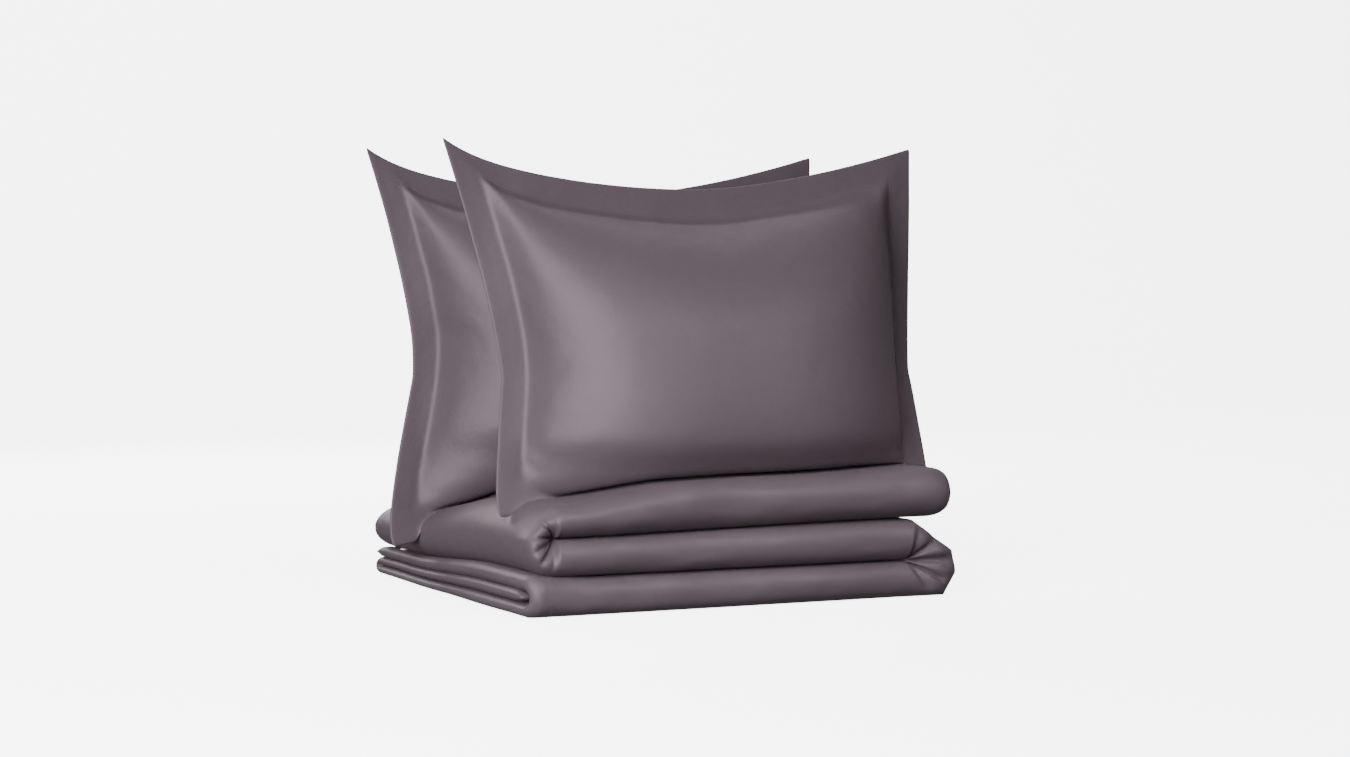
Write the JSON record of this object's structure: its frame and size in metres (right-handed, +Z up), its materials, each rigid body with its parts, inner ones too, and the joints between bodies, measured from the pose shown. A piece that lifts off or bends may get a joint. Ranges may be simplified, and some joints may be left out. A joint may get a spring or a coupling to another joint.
{
  "type": "folded duvet with pillows",
  "caption": "Filled duvet in a buttoned cover, folded both ways into a low stack, with plump flanged pillows that stand on it and lift off.",
  "frame": {"origin": "centre of the face that the folded duvet rests on", "axes": "+Z up; +X along the front of the stack, from the left bend towards the right bend; +Y from the front of the stack to its back"},
  "size_m": [0.7624, 0.6526, 0.6656],
  "materials": {
    "cotton_sateen": "smooth cotton sateen, dark mauve grey, soft sheen",
    "seam_thread": "spun polyester thread, matching the cloth",
    "insert_cotton": "plain white cotton, matt",
    "hollow_fibre": "white polyester fibre wadding, matt",
    "shirt_button": "pale moulded button, semi-gloss"
  },
  "bodies": {
    "duvet": {"duvet_cover_face": "cotton_sateen", "duvet_cover_reverse": "cotton_sateen", "foot_hem_face": "cotton_sateen", "foot_hem_reverse": "cotton_sateen", "head_seam": "cotton_sateen", "side_seams": "seam_thread", "closure_buttons": "shirt_button", "corner_ties": "insert_cotton", "insert_ticking_face": "insert_cotton", "insert_ticking_reverse": "insert_cotton", "insert_baffles": "insert_cotton", "insert_fill": "hollow_fibre"},
    "front_pillow": {"front_sham_face": "cotton_sateen", "front_sham_back": "cotton_sateen", "front_sham_flap": "cotton_sateen", "front_sham_flange": "cotton_sateen", "front_flange_stitching": "seam_thread", "front_ticking_face": "insert_cotton", "front_ticking_back": "insert_cotton", "front_pillow_fill": "hollow_fibre"},
    "rear_pillow": {"rear_sham_face": "cotton_sateen", "rear_sham_back": "cotton_sateen", "rear_sham_flap": "cotton_sateen", "rear_sham_flange": "cotton_sateen", "rear_flange_stitching": "seam_thread", "rear_ticking_face": "insert_cotton", "rear_ticking_back": "insert_cotton", "rear_pillow_fill": "hollow_fibre"}
  },
  "joints": [
    {"name": "front_pillow_lift", "type": "slide", "parent": "duvet", "child": "front_pillow", "axis": [0, 0.225, 0.9744], "range_m": [0, 0.6]},
    {"name": "rear_pillow_lift", "type": "slide", "parent": "duvet", "child": "rear_pillow", "axis": [0, 0.225, 0.9744], "range_m": [0, 0.6]}
  ]
}
